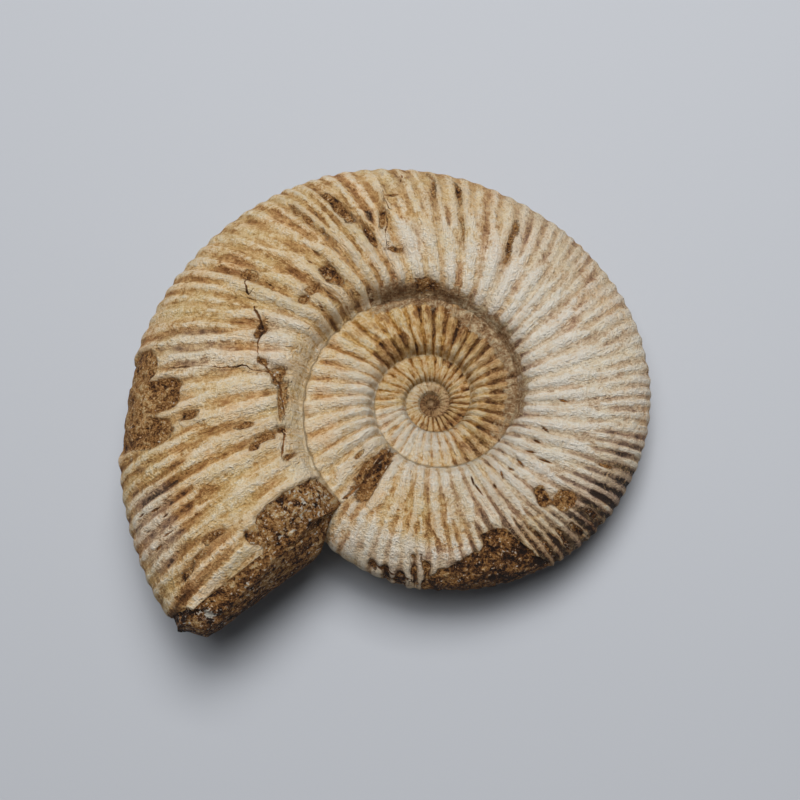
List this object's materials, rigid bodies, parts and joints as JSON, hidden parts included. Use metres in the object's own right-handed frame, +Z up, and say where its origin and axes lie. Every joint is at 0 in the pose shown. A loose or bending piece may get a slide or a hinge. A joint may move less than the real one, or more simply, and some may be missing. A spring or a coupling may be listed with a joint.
{
  "type": "ammonite fossil",
  "caption": "Flat-coiled fossil shell with forked ribs, an open hollow coil centre and a broken, stone-filled mouth, lying on its side as a specimen for display",
  "frame": {"origin": "centre of the bounding box in X and Y, on the surface that the fossil lies on", "axes": "+Z up out of the surface; the coil lies flat with its axis leaning 4.5 degrees from +Z, the mouth faces -Y and +X, the longest side runs along X"},
  "size_m": [0.11, 0.1002, 0.032],
  "materials": {
    "fossil_stone": "matt, chalky, cream to ochre, with dark brown matrix"
  },
  "bodies": {
    "root": {"ammonite": "fossil_stone"}
  },
  "joints": []
}
